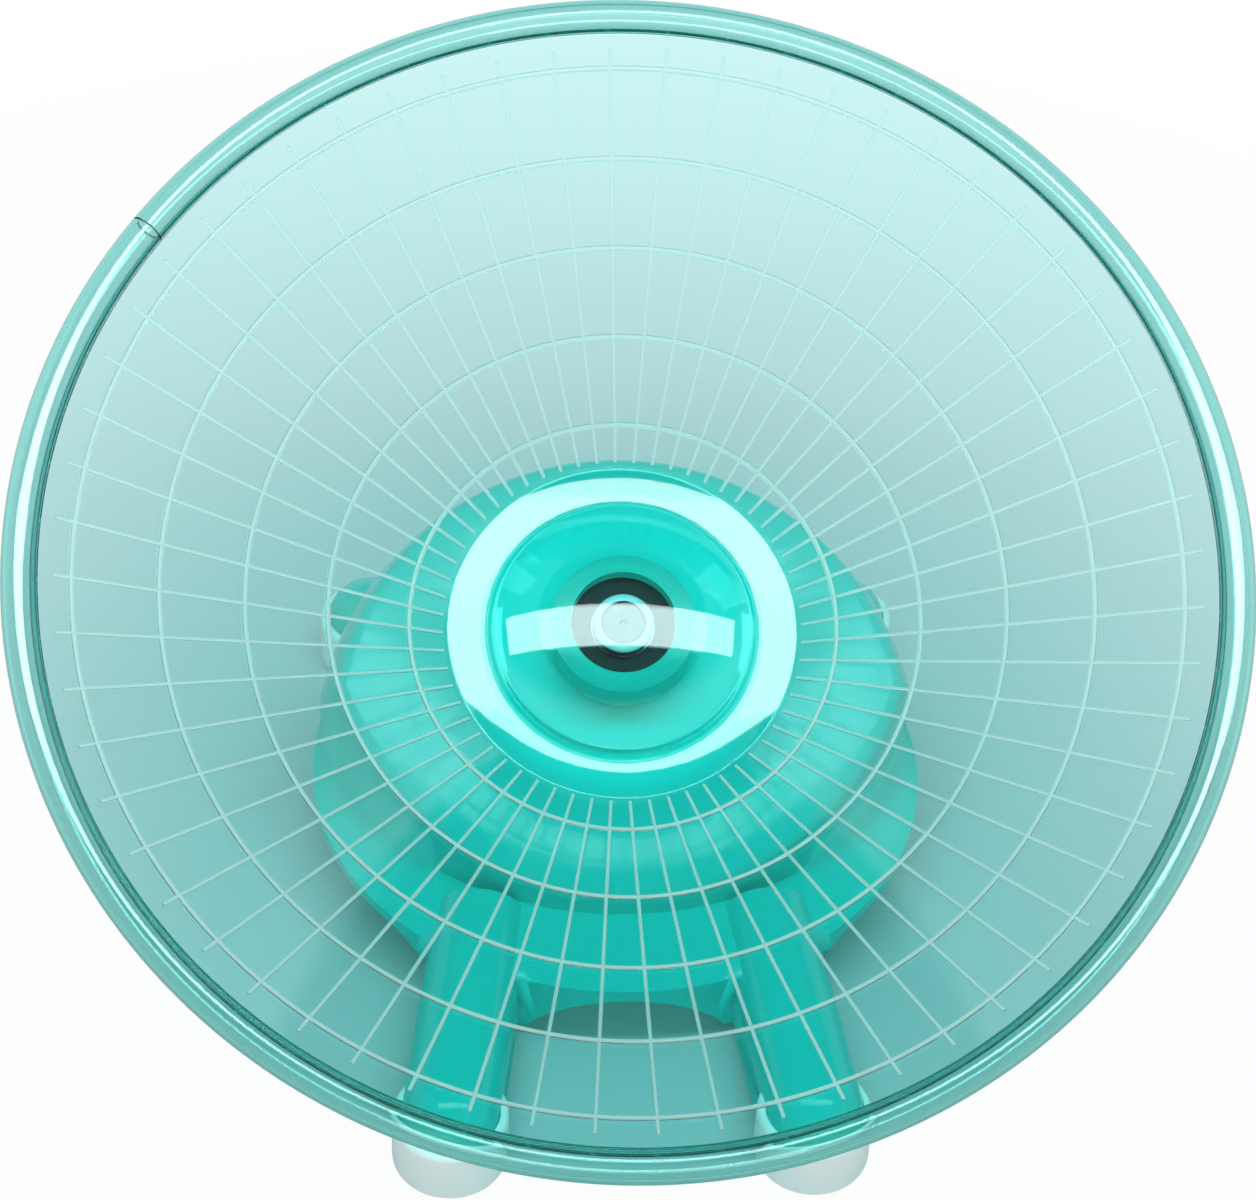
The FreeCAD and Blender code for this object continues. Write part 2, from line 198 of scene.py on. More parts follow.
# The camera's place and aim in metres, its roll, and its lens and sensor in millimetres
CAMERA_PLACE = (-0.0473, -0.6146, 0.6669)
CAMERA_AIM = (-0.0012, -0.0047, 0.1057)
CAMERA_ROLL = math.radians(2.92)
CAMERA_LENS = 99.24
CAMERA_SENSOR = 36.0

# Worked out from those sizes and from the frame
SLOPE = math.tan(CONE_ANGLE)
TUBE_CIRCLE = DISC_DIAMETER / 2 - TUBE_RADIUS
TUBE_HEIGHT = (TUBE_CIRCLE - HUB_FLOOR_RADIUS) * SLOPE - DISH_WALL / math.cos(CONE_ANGLE) / 2
CAP_RADIUS = DOME_RADIUS - STEP_WIDTH
CAP_RISE = DOME_RISE - STEP_HEIGHT
DOME_SPHERE = (CAP_RADIUS ** 2 + CAP_RISE ** 2) / (2 * CAP_RISE)
SPIN = next(joint for joint in frame["joints"] if joint["name"] == "disc_spin")
TILT = math.atan2(-SPIN["axis"][1], SPIN["axis"][2])
ON_DISC = Matrix.Translation(SPIN["pos_m"]) @ Matrix.Rotation(TILT, 4, "X") @ Matrix.Scale(MM, 4)


def linear(code):
    """An sRGB hex colour as linear red, green, blue and alpha."""
    parts = [int(code[i:i + 2], 16) / 255 for i in (1, 3, 5)]
    return tuple(c / 12.92 if c <= 0.04045 else ((c + 0.055) / 1.055) ** 2.4 for c in parts) + (1.0,)


def add(tree, kind, sockets=(), **settings):
    """Add a node with its settings; a socket's value is a constant or another node's output."""
    node = tree.nodes.new(kind)
    for name, value in settings.items():
        setattr(node, name, value)
    for name, value in dict(sockets).items():
        if isinstance(value, bpy.types.NodeSocket):
            tree.links.new(value, node.inputs[name])
        else:
            node.inputs[name].default_value = value
    return node


def new_material(name):
    """An empty node material and its tree."""
    material = bpy.data.materials.new(name)
    material.use_nodes = True
    material.node_tree.nodes.clear()
    return material, material.node_tree


def surface_noise(tree, size_mm, detail):
    """Noise on Object coordinates whose lumps are about size_mm wide."""
    place = add(tree, "ShaderNodeTexCoord")
    return add(tree, "ShaderNodeTexNoise", {
        "Vector": place.outputs["Object"], "Scale": 1 / (size_mm * MM), "Detail": detail})


def clear_plastic(name, absorbed, density, ior, roughness, wave_mm, wave_depth_mm, satin=0.0):
    """Clear plastic: polished, with slow moulding waves, satin along its ribs, tinted by thickness."""
    material, tree = new_material(name)
    wave = surface_noise(tree, wave_mm, WAVE_DETAIL)
    bump = add(tree, "ShaderNodeBump", {
        "Strength": 1.0, "Distance": wave_depth_mm * MM, "Height": wave.outputs["Fac"]})
    haze = surface_noise(tree, HAZE_WAVES * wave_mm, HAZE_DETAIL)
    rough = add(tree, "ShaderNodeMapRange", {
        "Value": haze.outputs["Fac"],
        "To Min": CLEAR_HAZE[0] * roughness, "To Max": CLEAR_HAZE[1] * roughness}).outputs["Result"]
    if satin:
        ribs = add(tree, "ShaderNodeAttribute", attribute_name="satin")
        rough = add(tree, "ShaderNodeMapRange", {
            "Value": ribs.outputs["Fac"], "To Min": rough, "To Max": satin}).outputs["Result"]
    plastic = add(tree, "ShaderNodeBsdfPrincipled", {
        "Base Color": (1, 1, 1, 1), "Transmission Weight": 1.0, "IOR": ior,
        "Roughness": rough, "Normal": bump.outputs["Normal"]})
    if satin:
        clearness = add(tree, "ShaderNodeMapRange", {
            "Value": ribs.outputs["Fac"], "To Min": 1.0, "To Max": RIB_CLEARNESS})
        tree.links.new(clearness.outputs["Result"], plastic.inputs["Transmission Weight"])
        frosted = add(tree, "ShaderNodeMix", {
            "Factor": ribs.outputs["Fac"], 6: (1, 1, 1, 1), 7: linear(RIB_FROST)}, data_type="RGBA")
        tree.links.new(frosted.outputs[2], plastic.inputs["Base Color"])
    path = add(tree, "ShaderNodeLightPath")
    clear = add(tree, "ShaderNodeBsdfTransparent", {"Color": CLEAR_SHADOW})
    lit = add(tree, "ShaderNodeMath", {
        0: path.outputs["Is Shadow Ray"], 1: path.outputs["Is Diffuse Ray"]}, operation="MAXIMUM")
    both = add(tree, "ShaderNodeMixShader", {
        0: lit.outputs[0], 1: plastic.outputs[0], 2: clear.outputs[0]})
    tint = add(tree, "ShaderNodeVolumeAbsorption", {"Color": linear(absorbed), "Density": density})
    add(tree, "ShaderNodeOutputMaterial", {
        "Surface": both.outputs[0], "Volume": tint.outputs[0]})
    return material


def tinted_plastic(name, colour, painted_light_colour, see_through, absorbed, density, roughness, wave_mm,
                   wave_depth_mm):
    """Deeper tinted plastic: part clear, part cloudy, with slow waves, and painted paler round the hub as light
    where the dome shades it.
    """
    material, tree = new_material(name)
    wave = surface_noise(tree, wave_mm, WAVE_DETAIL)
    bump = add(tree, "ShaderNodeBump", {
        "Strength": 1.0, "Distance": wave_depth_mm * MM, "Height": wave.outputs["Fac"]})
    haze = surface_noise(tree, HAZE_WAVES * wave_mm, HAZE_DETAIL)
    rough = add(tree, "ShaderNodeMapRange", {
        "Value": haze.outputs["Fac"],
        "To Min": TINTED_HAZE[0] * roughness, "To Max": TINTED_HAZE[1] * roughness})
    # Painted light: the colour turns paler near the hub, where the dome shades the stand's top
    place = add(tree, "ShaderNodeTexCoord")
    away = add(tree, "ShaderNodeVectorMath", {
        0: place.outputs["Object"], 1: SPIN["pos_m"]}, operation="DISTANCE")
    past_painted_light = add(tree, "ShaderNodeMapRange", {
        "Value": away.outputs["Value"], "From Min": PAINTED_LIGHT_RADIUS * MM, "From Max": PAINTED_LIGHT_FADE_RADIUS * MM},
        interpolation_type="SMOOTHSTEP")
    shade = add(tree, "ShaderNodeMix", {
        "Factor": past_painted_light.outputs["Result"], 6: linear(painted_light_colour), 7: linear(colour)}, data_type="RGBA")
    plastic = add(tree, "ShaderNodeBsdfPrincipled", {
        "Base Color": shade.outputs[2], "Transmission Weight": see_through, "IOR": TINTED_IOR,
        "Specular IOR Level": TINTED_SPECULAR,
        "Roughness": rough.outputs["Result"], "Normal": bump.outputs["Normal"]})
    path = add(tree, "ShaderNodeLightPath")
    glow = add(tree, "ShaderNodeBsdfTransparent", {"Color": linear(absorbed)})
    lit = add(tree, "ShaderNodeMath", {
        0: path.outputs["Is Shadow Ray"], 1: TINTED_SHADOW_SHARE}, operation="MULTIPLY")
    both = add(tree, "ShaderNodeMixShader", {
        0: lit.outputs[0], 1: plastic.outputs[0], 2: glow.outputs[0]})
    tint = add(tree, "ShaderNodeVolumeAbsorption", {"Color": linear(absorbed), "Density": density})
    add(tree, "ShaderNodeOutputMaterial", {
        "Surface": both.outputs[0], "Volume": tint.outputs[0]})
    return material


def opaque(name, dark, light, roughness, grain_mm, bump_mm, metallic=0.0, specular=0.5):
    """An opaque finish: two close shades in a grain of a real size, with matching roughness and bump."""
    material, tree = new_material(name)
    grain = surface_noise(tree, grain_mm, GRAIN_DETAIL)
    shade = add(tree, "ShaderNodeMix", {
        "Factor": grain.outputs["Fac"], 6: linear(dark), 7: linear(light)}, data_type="RGBA")
    rough = add(tree, "ShaderNodeMapRange", {
        "Value": grain.outputs["Fac"],
        "To Min": GRAIN_HAZE[0] * roughness, "To Max": GRAIN_HAZE[1] * roughness})
    bump = add(tree, "ShaderNodeBump", {
        "Strength": 1.0, "Distance": bump_mm * MM, "Height": grain.outputs["Fac"]})
    finish = add(tree, "ShaderNodeBsdfPrincipled", {
        "Base Color": shade.outputs[2], "Metallic": metallic, "Specular IOR Level": specular,
        "Roughness": rough.outputs["Result"], "Normal": bump.outputs["Normal"]})
    add(tree, "ShaderNodeOutputMaterial", {"Surface": finish.outputs[0]})
    return material


def make_materials():
    """The finishes of the object, by the record's slot names, and two more for parts of a piece."""
    # The real grain of these finishes is too fine to show: it is drawn coarser, at tenths of a millimetre
    return {
        # Injection-moulded polystyrene, pale in one wall and deep along its edges
        "clear_dish": clear_plastic(
            "polystyrene_moulded_pale", absorbed="#5CF1F0", density=260, ior=1.55, roughness=0.03,
            wave_mm=14, wave_depth_mm=0.012, satin=0.4),
        # The same moulding where it is thick round the bearing, cloudy and deeper; it lies near the hub, so it
        # shows the paler second shade, which is painted light
        "cloudy_socket": tinted_plastic(
            "polystyrene_moulded_cloudy", "#06D8CE", "#08F0E6", see_through=0.5, absorbed="#20F0E8",
            density=150, roughness=0.15, wave_mm=14, wave_depth_mm=0.012),
        # The same plastic in the stand's thicker moulding: deep and part cloudy, painted paler round the hub as
        # light in the shade under the dome
        "clear_stand": tinted_plastic(
            "polystyrene_moulded_deep", "#04D4CA", "#10FFF6", see_through=0.12, absorbed="#20F0E8",
            density=150, roughness=0.12, wave_mm=18, wave_depth_mm=0.012),
        # Extruded vinyl tube, even and glossy, deep turquoise where its wall is seen along
        "clear_edging": clear_plastic(
            "vinyl_extruded_clear", absorbed="#1CE2DC", density=480, ior=1.52, roughness=0.03,
            wave_mm=60, wave_depth_mm=0.0015),
        # Thermoplastic rubber, dull and slightly mottled
        "grey_rubber": opaque(
            "rubber_moulded_pale", "#F2F5F3", "#FBFDFC", roughness=0.55, grain_mm=0.6, bump_mm=0.01),
        # Nitrile rubber, near black with a soft sheen; its teal cast is painted light, the glow of the turquoise
        # dome over it
        "black_seal_rubber": opaque(
            "nitrile_moulded_black", "#041A19", "#0A2422", roughness=0.45, grain_mm=0.5, bump_mm=0.01,
            specular=0.15),
        # Ground bearing steel, fine and bright
        "bearing_steel": opaque(
            "steel_ground", "#9A9DA1", "#C4C7CA", roughness=0.25, grain_mm=0.3, bump_mm=0.003,
            metallic=1.0),
        # Lapped steel balls, almost mirror bright
        "bearing_ball_steel": opaque(
            "steel_lapped", "#C9CCCF", "#E0E2E4", roughness=0.08, grain_mm=0.4, bump_mm=0.001,
            metallic=1.0),
        # Natural nylon, waxy and cream
        "nylon_cage": opaque(
            "nylon_moulded_natural", "#D6CFBA", "#E3DDCB", roughness=0.45, grain_mm=0.5, bump_mm=0.005),
        # Turned acetal with a faint satin, its white painted over as dark grey shade because the dome's mirror
        # image lightens it
        "white_acetal": opaque(
            "acetal_turned_painted_shade", "#303635", "#3C4241", roughness=0.35, grain_mm=0.4, bump_mm=0.004),
        # White acetal, the head's own colour, on its raised rim, where it is polished; the centre beside it is
        # painted shade
        "polished_acetal": opaque(
            "acetal_polished_white", "#DDE3E1", "#F0F4F3", roughness=0.2, grain_mm=0.4, bump_mm=0.002),
        # Bright zinc plate, cool and lightly mottled
        "zinc_plated_steel": opaque(
            "zinc_plate_bright", "#A9AEB2", "#CDD2D6", roughness=0.3, grain_mm=0.5, bump_mm=0.004,
            metallic=1.0),
    }


def arc(centre, radius, start, end, steps):
    """Points along an arc in the (radius, height) plane, angles from the outward axis."""
    points = []
    for step in range(steps + 1):
        angle = start + (end - start) * step / steps
        points.append((centre[0] + radius * math.cos(angle), centre[1] + radius * math.sin(angle)))
    return points


def rounded(before, corner, after, radius, steps=FILLET_STEPS):
    """The arc that rounds a corner between two straight runs."""
    corner = Vector(corner)
    a = (Vector(before) - corner).normalized()
    b = (Vector(after) - corner).normalized()
    half = a.angle(b) / 2
    centre = corner + (a + b).normalized() * (radius / math.sin(half))
    start = corner + a * (radius / math.tan(half)) - centre
    end = corner + b * (radius / math.tan(half)) - centre
    sweep = start.angle_signed(end)
    return [tuple(centre + Matrix.Rotation(-sweep * i / steps, 2) @ start) for i in range(steps + 1)]


def spun(name, section, segments, closed=False):
    """A mesh turned about Z, from a section that starts and ends on the axis or from a closed one."""
    mesh = bpy.data.meshes.new(name)
    shape = bmesh.new()
    rows = []
    for turn in range(segments):
        angle = 2 * math.pi * turn / segments
        direction = (math.cos(angle), math.sin(angle))
        rows.append([shape.verts.new((r * direction[0], r * direction[1], z)) for r, z in section])
    count = len(section)
    for turn in range(segments):
        here, there = rows[turn], rows[(turn + 1) % segments]
        for i in range(count if closed else count - 1):
            j = (i + 1) % count
            shape.faces.new((here[i], there[i], there[j], here[j]))
    bmesh.ops.remove_doubles(shape, verts=shape.verts, dist=POINT_MERGE)
    bmesh.ops.dissolve_degenerate(shape, edges=shape.edges, dist=EDGE_LEAST)
    bmesh.ops.recalc_face_normals(shape, faces=shape.faces)
    shape.to_mesh(mesh)
    shape.free()
    return mesh


def finished(name, mesh, place, material, body, node, crisp=CRISP_ANGLE):
    """A piece in the shared frame that stands for a node: placed, smooth shaded, painted, riding."""
    mesh.transform(place)
    mesh.shade_smooth()
    mesh.set_sharp_from_angle(angle=math.radians(crisp))
    mesh.materials.clear()
    mesh.materials.append(material)
    piece = bpy.data.objects.new(name, mesh)
    bpy.context.scene.collection.objects.link(piece)
    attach(piece, body)
    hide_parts(node)


def dish_section():
    """Half the dish's section, from the dome's top round the edge and back under to the axis."""
    up = math.pi / 2
    centre = (0.0, DOME_RISE - DOME_SPHERE)
    lean = math.asin(CAP_RADIUS / DOME_SPHERE)
    cap = arc(centre, DOME_SPHERE, up, up - lean, DOME_STEPS)
    inner = DOME_SPHERE - DISH_WALL
    roof = arc(centre, inner, up - math.asin(RAMP_TOP / inner), up, DOME_STEPS)
    wall_up = Vector((-math.sin(CONE_ANGLE), math.cos(CONE_ANGLE))) * (DISH_WALL / 2)
    along = Vector((math.cos(CONE_ANGLE), math.sin(CONE_ANGLE)))
    edge = Vector((TUBE_CIRCLE, TUBE_HEIGHT)) - along * EDGE_INSET
    edge_top, edge_under = tuple(edge + wall_up), tuple(edge - wall_up)
    dome_foot = (DOME_RADIUS, -(HUB_FLOOR_RADIUS - DOME_RADIUS) * FLOOR_SLOPE)
    floor_end = (HUB_FLOOR_RADIUS, 0.0)
    floor_under = (HUB_FLOOR_RADIUS + (DISH_WALL / math.cos(CONE_ANGLE) - DISH_WALL) / SLOPE, -DISH_WALL)
    ramp_foot = (RAMP_FOOT, -DISH_WALL - (floor_under[0] - RAMP_FOOT) * FLOOR_SLOPE)
    section = cap[:-1]
    section += rounded(cap[-2], cap[-1], dome_foot, STEP_FILLET)
    section += rounded(cap[-1], dome_foot, floor_end, STEP_FILLET)
    section += rounded(dome_foot, floor_end, edge_top, FLOOR_FILLET)
    section += [edge_top, edge_under]
    section += rounded(edge_under, floor_under, ramp_foot, UNDER_FILLET)
    section += rounded(floor_under, ramp_foot, roof[0], UNDER_FILLET)
    section += roof
    return section


def rib_tree():
    """Geometry nodes that raise straight ribs and rings on the cone and join them to the dish."""
    tree = bpy.data.node_groups.new("grip_ribs", "GeometryNodeTree")
    sockets = tree.interface
    sockets.new_socket("Geometry", in_out="OUTPUT", socket_type="NodeSocketGeometry")
    sockets.new_socket("Geometry", in_out="INPUT", socket_type="NodeSocketGeometry")
    for name in ("Rib Count", "Ring Count"):
        sockets.new_socket(name, in_out="INPUT", socket_type="NodeSocketInt")
    for name in ("Rib Turn", "Rib Radius", "Rib Lift", "Rib Start", "Rib End", "Ring Radius", "Ring Lift",
                 "Ring Pitch", "Outer Ring", "Hub Radius", "Slope"):
        sockets.new_socket(name, in_out="INPUT", socket_type="NodeSocketFloat")
    sockets.new_socket("Material", in_out="INPUT", socket_type="NodeSocketMaterial")
    given = add(tree, "NodeGroupInput").outputs
    index = add(tree, "GeometryNodeInputIndex").outputs[0]
    rib_profile = add(tree, "GeometryNodeCurvePrimitiveCircle", {
        "Resolution": RIB_STEPS, "Radius": given["Rib Radius"]})
    ring_profile = add(tree, "GeometryNodeCurvePrimitiveCircle", {
        "Resolution": RIB_STEPS, "Radius": given["Ring Radius"]})

    def cone_height(radius, lift):
        """How high the cone is at a radius, with a lift added."""
        out = add(tree, "ShaderNodeMath", {0: radius, 1: given["Hub Radius"]}, operation="SUBTRACT")
        height = add(tree, "ShaderNodeMath", {
            0: out.outputs[0], 1: given["Slope"], 2: lift}, operation="MULTIPLY_ADD")
        return height.outputs[0]

    ends = []
    for name in ("Rib Start", "Rib End"):
        ends.append(add(tree, "ShaderNodeCombineXYZ", {
            "X": given[name], "Z": cone_height(given[name], given["Rib Lift"])}))
    rib_line = add(tree, "GeometryNodeCurvePrimitiveLine", {
        "Start": ends[0].outputs[0], "End": ends[1].outputs[0]})
    rib = add(tree, "GeometryNodeCurveToMesh", {
        "Curve": rib_line.outputs[0], "Profile Curve": rib_profile.outputs[0], "Fill Caps": True})
    ball = add(tree, "GeometryNodeMeshUVSphere", {
        "Segments": RIB_STEPS, "Rings": TIP_RINGS, "Radius": given["Rib Radius"]})
    tips = add(tree, "GeometryNodeInstanceOnPoints", {
        "Points": rib_line.outputs[0], "Instance": ball.outputs["Mesh"]})
    real_tips = add(tree, "GeometryNodeRealizeInstances", {"Geometry": tips.outputs[0]})
    whole_rib = add(tree, "GeometryNodeMeshBoolean", operation="UNION", solver="MANIFOLD")
    for geometry in (rib.outputs[0], real_tips.outputs[0]):
        tree.links.new(geometry, whole_rib.inputs["Mesh 2"])
    step = add(tree, "ShaderNodeMath", {0: 2 * math.pi, 1: given["Rib Count"]}, operation="DIVIDE")
    angle = add(tree, "ShaderNodeMath", {
        0: index, 1: step.outputs[0], 2: given["Rib Turn"]}, operation="MULTIPLY_ADD")
    turn = add(tree, "FunctionNodeAxisAngleToRotation", {"Axis": (0, 0, 1), "Angle": angle.outputs[0]})
    rib_points = add(tree, "GeometryNodePoints", {"Count": given["Rib Count"]})
    ribs = add(tree, "GeometryNodeInstanceOnPoints", {
        "Points": rib_points.outputs[0], "Instance": whole_rib.outputs["Mesh"],
        "Rotation": turn.outputs[0]})

    inward = add(tree, "ShaderNodeMath", {0: index, 1: given["Ring Pitch"]}, operation="MULTIPLY")
    radius = add(tree, "ShaderNodeMath", {
        0: given["Outer Ring"], 1: inward.outputs[0]}, operation="SUBTRACT").outputs[0]
    centre = add(tree, "ShaderNodeCombineXYZ", {"Z": cone_height(radius, given["Ring Lift"])})
    ring_points = add(tree, "GeometryNodePoints", {
        "Count": given["Ring Count"], "Position": centre.outputs[0]})
    unit_circle = add(tree, "GeometryNodeCurvePrimitiveCircle", {
        "Resolution": RING_STEPS, "Radius": 1.0})
    scale = add(tree, "ShaderNodeCombineXYZ", {"X": radius, "Y": radius, "Z": 1.0})
    circles = add(tree, "GeometryNodeInstanceOnPoints", {
        "Points": ring_points.outputs[0], "Instance": unit_circle.outputs[0], "Scale": scale.outputs[0]})
    curves = add(tree, "GeometryNodeRealizeInstances", {"Geometry": circles.outputs[0]})
    even = add(tree, "GeometryNodeSetCurveRadius", {"Curve": curves.outputs[0], "Radius": 1.0})
    rings = add(tree, "GeometryNodeCurveToMesh", {
        "Curve": even.outputs[0], "Profile Curve": ring_profile.outputs[0]})

    union = add(tree, "GeometryNodeMeshBoolean", operation="UNION", solver="MANIFOLD")
    real_ribs = add(tree, "GeometryNodeRealizeInstances", {"Geometry": ribs.outputs[0]})
    for geometry in (given["Geometry"], real_ribs.outputs[0], rings.outputs[0]):
        tree.links.new(geometry, union.inputs["Mesh 2"])
    clean = add(tree, "GeometryNodeMergeByDistance", {
        "Geometry": union.outputs["Mesh"], "Distance": SLIVER})
    position = add(tree, "GeometryNodeInputPosition").outputs[0]
    place = add(tree, "ShaderNodeSeparateXYZ", {0: position}).outputs
    flat = add(tree, "ShaderNodeCombineXYZ", {"X": place["X"], "Y": place["Y"]})
    reach = add(tree, "ShaderNodeVectorMath", {0: flat.outputs[0]}, operation="LENGTH").outputs["Value"]
    outside = add(tree, "ShaderNodeMath", {
        0: reach, 1: given["Hub Radius"]}, operation="SUBTRACT").outputs[0]
    cone = add(tree, "ShaderNodeMath", {0: outside, 1: given["Slope"]}, operation="MULTIPLY").outputs[0]
    proud = add(tree, "ShaderNodeMath", {0: place["Z"], 1: cone}, operation="SUBTRACT").outputs[0]
    least = add(tree, "ShaderNodeMath", {0: proud, 1: outside}, operation="MINIMUM").outputs[0]
    satin = add(tree, "ShaderNodeMapRange", {
        "Value": least, "From Min": SATIN_FROM, "From Max": SATIN_FULL})
    marked = add(tree, "GeometryNodeStoreNamedAttribute", {
        "Geometry": clean.outputs[0], "Name": "satin", "Value": satin.outputs["Result"]},
        data_type="FLOAT", domain="POINT")
    real = add(tree, "GeometryNodeRealizeInstances", {"Geometry": marked.outputs[0]})
    painted = add(tree, "GeometryNodeSetMaterial", {
        "Geometry": real.outputs[0], "Material": given["Material"]})
    add(tree, "NodeGroupOutput", {"Geometry": painted.outputs[0]})
    return tree


def with_ribs(mesh, material):
    """The dish's mesh with its grip ribs, as a plain mesh."""
    base = bpy.data.objects.new("dish_base", mesh)
    bpy.context.scene.collection.objects.link(base)
    modifier = base.modifiers.new("grip_ribs", "NODES")
    modifier.node_group = rib_tree()
    values = {
        "Rib Count": RIB_COUNT, "Ring Count": RING_COUNT, "Rib Turn": RIB_TURN, "Rib Radius": RIB_RADIUS,
        "Rib Lift": RIB_LIFT, "Rib Start": RIB_START, "Rib End": RIB_END, "Ring Radius": RING_RADIUS,
        "Ring Lift": RING_LIFT, "Ring Pitch": RING_PITCH,
        "Outer Ring": OUTER_RING, "Hub Radius": HUB_FLOOR_RADIUS, "Slope": SLOPE, "Material": material}
    for item in modifier.node_group.interface.items_tree:
        if item.in_out == "INPUT" and item.name in values:
            modifier[item.identifier] = values[item.name]
    graph = bpy.context.evaluated_depsgraph_get()
    result = bpy.data.meshes.new_from_object(base.evaluated_get(graph))
    bpy.data.objects.remove(base)
    return result


def make_dish(materials):
    """The clear dish with its dome and grip ribs."""
    mesh = spun("dish", dish_section(), DISH_SEGMENTS)
    mesh = with_ribs(mesh, materials["clear_dish"])
    finished("dish", mesh, ON_DISC, materials["clear_dish"], "disc", "running_disc")


def make_socket(materials):
    """The bearing's socket under the dome, with the lip that the bearing's outer ring stops against."""
    inner = DOME_SPHERE - DISH_WALL
    centre = (0.0, DOME_RISE - DOME_SPHERE)
    collar_lean, lip_lean = math.asin(SOCKET_RADIUS / inner), math.asin(SOCKET_LIP / inner)
    up = math.pi / 2
    section = arc(centre, inner, up - lip_lean, up - collar_lean, LIP_STEPS)
    section += [(SOCKET_RADIUS, SOCKET_BOTTOM), (SOCKET_BORE, SOCKET_BOTTOM)]
    section += [(SOCKET_BORE, SOCKET_SEAT), (SOCKET_LIP, SOCKET_SEAT)]
    mesh = spun("socket", section, SOCKET_SEGMENTS, True)
    finished("socket", mesh, ON_DISC, materials["cloudy_socket"], "disc", "running_disc")


def make_seal(materials):
    """The bearing's upper seal: a thin black ring that covers the gap and the outer ring's shoulder."""
    top, under = SEAL_TOP, SEAL_TOP - SEAL_THICKNESS
    section = [(SEAL_BORE, under), (SEAL_RADIUS, under), (SEAL_RADIUS, top), (SEAL_BORE, top)]
    mesh = spun("upper_seal", section, SEAL_SEGMENTS, True)
    finished("upper_seal", mesh, ON_DISC, materials["black_seal_rubber"], "disc",
             "bearing_upper_seal")


def make_pin(materials):
    """The axle pin: a dished head with a raised rim and a gate mark, and a drilled shank; all but the white rim is
    painted dark grey as shade.
    """
    neck = (PIN_HEAD_RADIUS, SOCKET_SEAT)
    crown, rim = (PIN_HEAD_RADIUS, PIN_TOP), (PIN_RIM, PIN_TOP)
    floor = PIN_TOP - PIN_DISH
    section = [(0.0, floor - PIN_GATE), (PIN_GATE_FLOOR, floor - PIN_GATE), (PIN_GATE, floor)]
    section += rounded((PIN_GATE, floor), (PIN_RIM - PIN_DISH, floor), rim, PIN_DISH / 2)
    section += rounded((PIN_RIM - PIN_DISH, floor), rim, crown, PIN_DISH / 2)
    section += rounded(rim, crown, neck, PIN_HEAD_CHAMFER)
    section += [neck, (PIN_SHANK, SOCKET_SEAT), (PIN_SHANK, PIN_BOTTOM), (PIN_PILOT, PIN_BOTTOM)]
    section += [(PIN_PILOT, PILOT_TOP), (0.0, PILOT_TOP)]
    mesh = spun("pin", section, PIN_SEGMENTS)
    on_rim = [min(math.hypot(*mesh.vertices[i].co.xy) for i in face.vertices) > PIN_RIM - PIN_DISH / 2
              and face.center.z > PIN_TOP - PIN_HEAD_CHAMFER for face in mesh.polygons]
    finished("pin", mesh, ON_DISC, materials["white_acetal"], "stand", "axle_pin")
    mesh.materials.append(materials["polished_acetal"])
    for face, polished in zip(mesh.polygons, on_rim):
        face.material_index = int(polished)


def spun_tube(name, centre, radius, bore, segments, start, sweep, steps):
    """A tube bent round Z through part of a turn, with ring faces at both ends."""
    mesh = bpy.data.meshes.new(name)
    shape = bmesh.new()
    loops = [arc(centre, size, 0.0, 2 * math.pi, steps)[:-1] for size in (radius, bore)]
    rows = []
    for turn in range(segments + 1):
        angle = start + sweep * turn / segments
        x, y = math.cos(angle), math.sin(angle)
        rows.append([[shape.verts.new((r * x, r * y, z)) for r, z in loop] for loop in loops])
    for here, there in zip(rows, rows[1:]):
        for a, b in zip(here, there):
            for i in range(steps):
                shape.faces.new((a[i - 1], b[i - 1], b[i], a[i]))
    for outer, inner in (rows[0], rows[-1]):
        for i in range(steps):
            shape.faces.new((outer[i - 1], outer[i], inner[i], inner[i - 1]))
    bmesh.ops.recalc_face_normals(shape, faces=shape.faces)
    shape.to_mesh(mesh)
    shape.free()
    return mesh


def make_edging(materials):
    """The thin-walled edging tube along the dish's edge, butted at one joint."""
    gap = JOINT_GAP / TUBE_CIRCLE
    mesh = spun_tube("edging", (TUBE_CIRCLE, TUBE_HEIGHT), TUBE_RADIUS, TUBE_BORE, EDGING_SEGMENTS,
                     JOINT_ANGLE + gap / 2, 2 * math.pi - gap, EDGING_STEPS)
    finished("edging", mesh, ON_DISC, materials["clear_edging"], "disc", "rim_edging")


def make_stand(materials):
    """The stand's own moulding, merged from the frame's solid and smooth shaded."""
    shape = bmesh.new()
    shape.from_mesh(frame["nodes"]["stand_shell"].data)
    bmesh.ops.remove_doubles(shape, verts=shape.verts, dist=SOLID_MERGE)
    mesh = bpy.data.meshes.new("stand")
    shape.to_mesh(mesh)
    shape.free()
    finished("stand", mesh, Matrix.Identity(4), materials["clear_stand"], "stand",
             "stand_shell", crisp=STAND_CRISP_ANGLE)


def foot_section():
    """Half a foot's section: rounded outside, with a bore for the leg's end."""
    bottom, side, top = (FOOT_RADIUS, 0.0), (FOOT_RADIUS, FOOT_HEIGHT), (FOOT_BORE, FOOT_HEIGHT)
    section = [(0.0, 0.0)]
    section += rounded((0.0, 0.0), bottom, side, FOOT_FILLET)
    section += rounded(bottom, side, top, (FOOT_RADIUS - FOOT_BORE) * FOOT_LIP_SHARE)
    section += [top, (FOOT_BORE, FOOT_FLOOR), (0.0, FOOT_FLOOR)]
    return section


